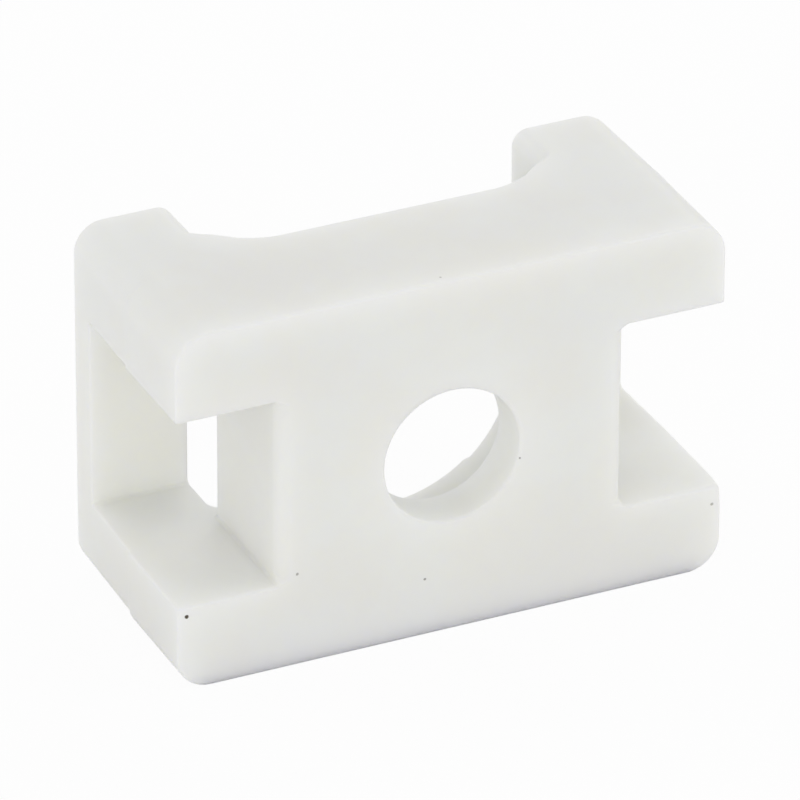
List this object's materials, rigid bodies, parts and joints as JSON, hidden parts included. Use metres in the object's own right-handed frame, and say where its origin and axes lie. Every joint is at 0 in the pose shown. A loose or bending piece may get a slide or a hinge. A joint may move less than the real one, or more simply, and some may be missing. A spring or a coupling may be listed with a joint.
{
  "type": "cable tie mount",
  "caption": "One-piece nylon saddle mount for a cable tie: two side plates joined by a web with a counterbored screw hole and by a bar at each end, with a window under each bar for the tie.",
  "frame": {"origin": "centre of the footprint of the mount as it lies on one side plate", "axes": "+X along the length from end to end, +Y from the flat mounting face to the saddle, +Z across the two side plates, up as it lies"},
  "size_m": [0.015, 0.0066, 0.01],
  "materials": {
    "natural_nylon": "satin, uncoloured and slightly translucent"
  },
  "bodies": {
    "root": {"tie_mount": "natural_nylon"}
  },
  "joints": []
}
